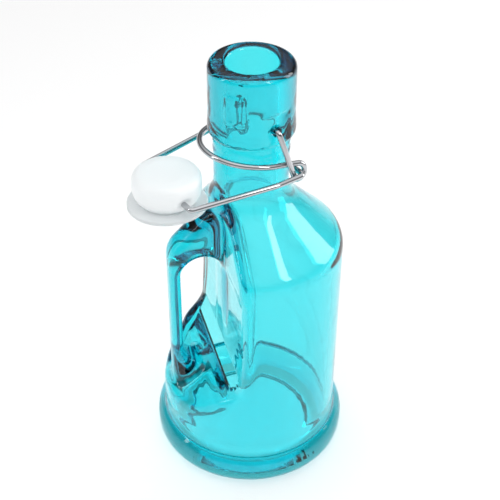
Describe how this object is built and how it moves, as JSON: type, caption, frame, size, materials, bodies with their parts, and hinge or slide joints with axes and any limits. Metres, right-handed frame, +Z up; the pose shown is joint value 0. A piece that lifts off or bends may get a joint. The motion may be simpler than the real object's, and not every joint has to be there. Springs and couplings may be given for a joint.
{
  "type": "swing top bottle",
  "caption": "Small glass bottle with a flush side handle, a flared foot and a wire swing top with a plastic stopper and gasket.",
  "frame": {"origin": "centre of the base, on the surface it stands on", "axes": "+Z up along the bottle's axis; the handle points to -X"},
  "size_m": [0.0754, 0.0676, 0.15],
  "materials": {
    "glass": "clear tinted, smooth",
    "wire": "bright",
    "stopper": "milky, satin",
    "gasket": "translucent, soft"
  },
  "bodies": {
    "glass": {"bottle": "glass"},
    "lever": {"lever_wire": "wire"},
    "bail": {"bail_wire": "wire"},
    "stopper": {"stopper": "stopper", "gasket": "gasket"}
  },
  "joints": [
    {"name": "lever_swing", "type": "hinge", "parent": "glass", "child": "lever", "pos_m": [0, 0, 0.132], "axis": [-0.3173, 0.9483, 0], "range_deg": [0, 63]},
    {"name": "bail_swing", "type": "hinge", "parent": "lever", "child": "bail", "pos_m": [0.0056, 0.00187, 0.1179], "axis": [-0.3173, 0.9483, 0], "range_deg": [0, 43]},
    {"name": "stopper_tilt", "type": "hinge", "parent": "bail", "child": "stopper", "pos_m": [-0.02921, -0.00977, 0.1156], "axis": [-0.3173, 0.9483, 0], "range_deg": [-111, 0]}
  ],
  "couplings": [
    {"joint": "stopper_tilt", "follows": "bail_swing", "ratio": -2.56}
  ]
}
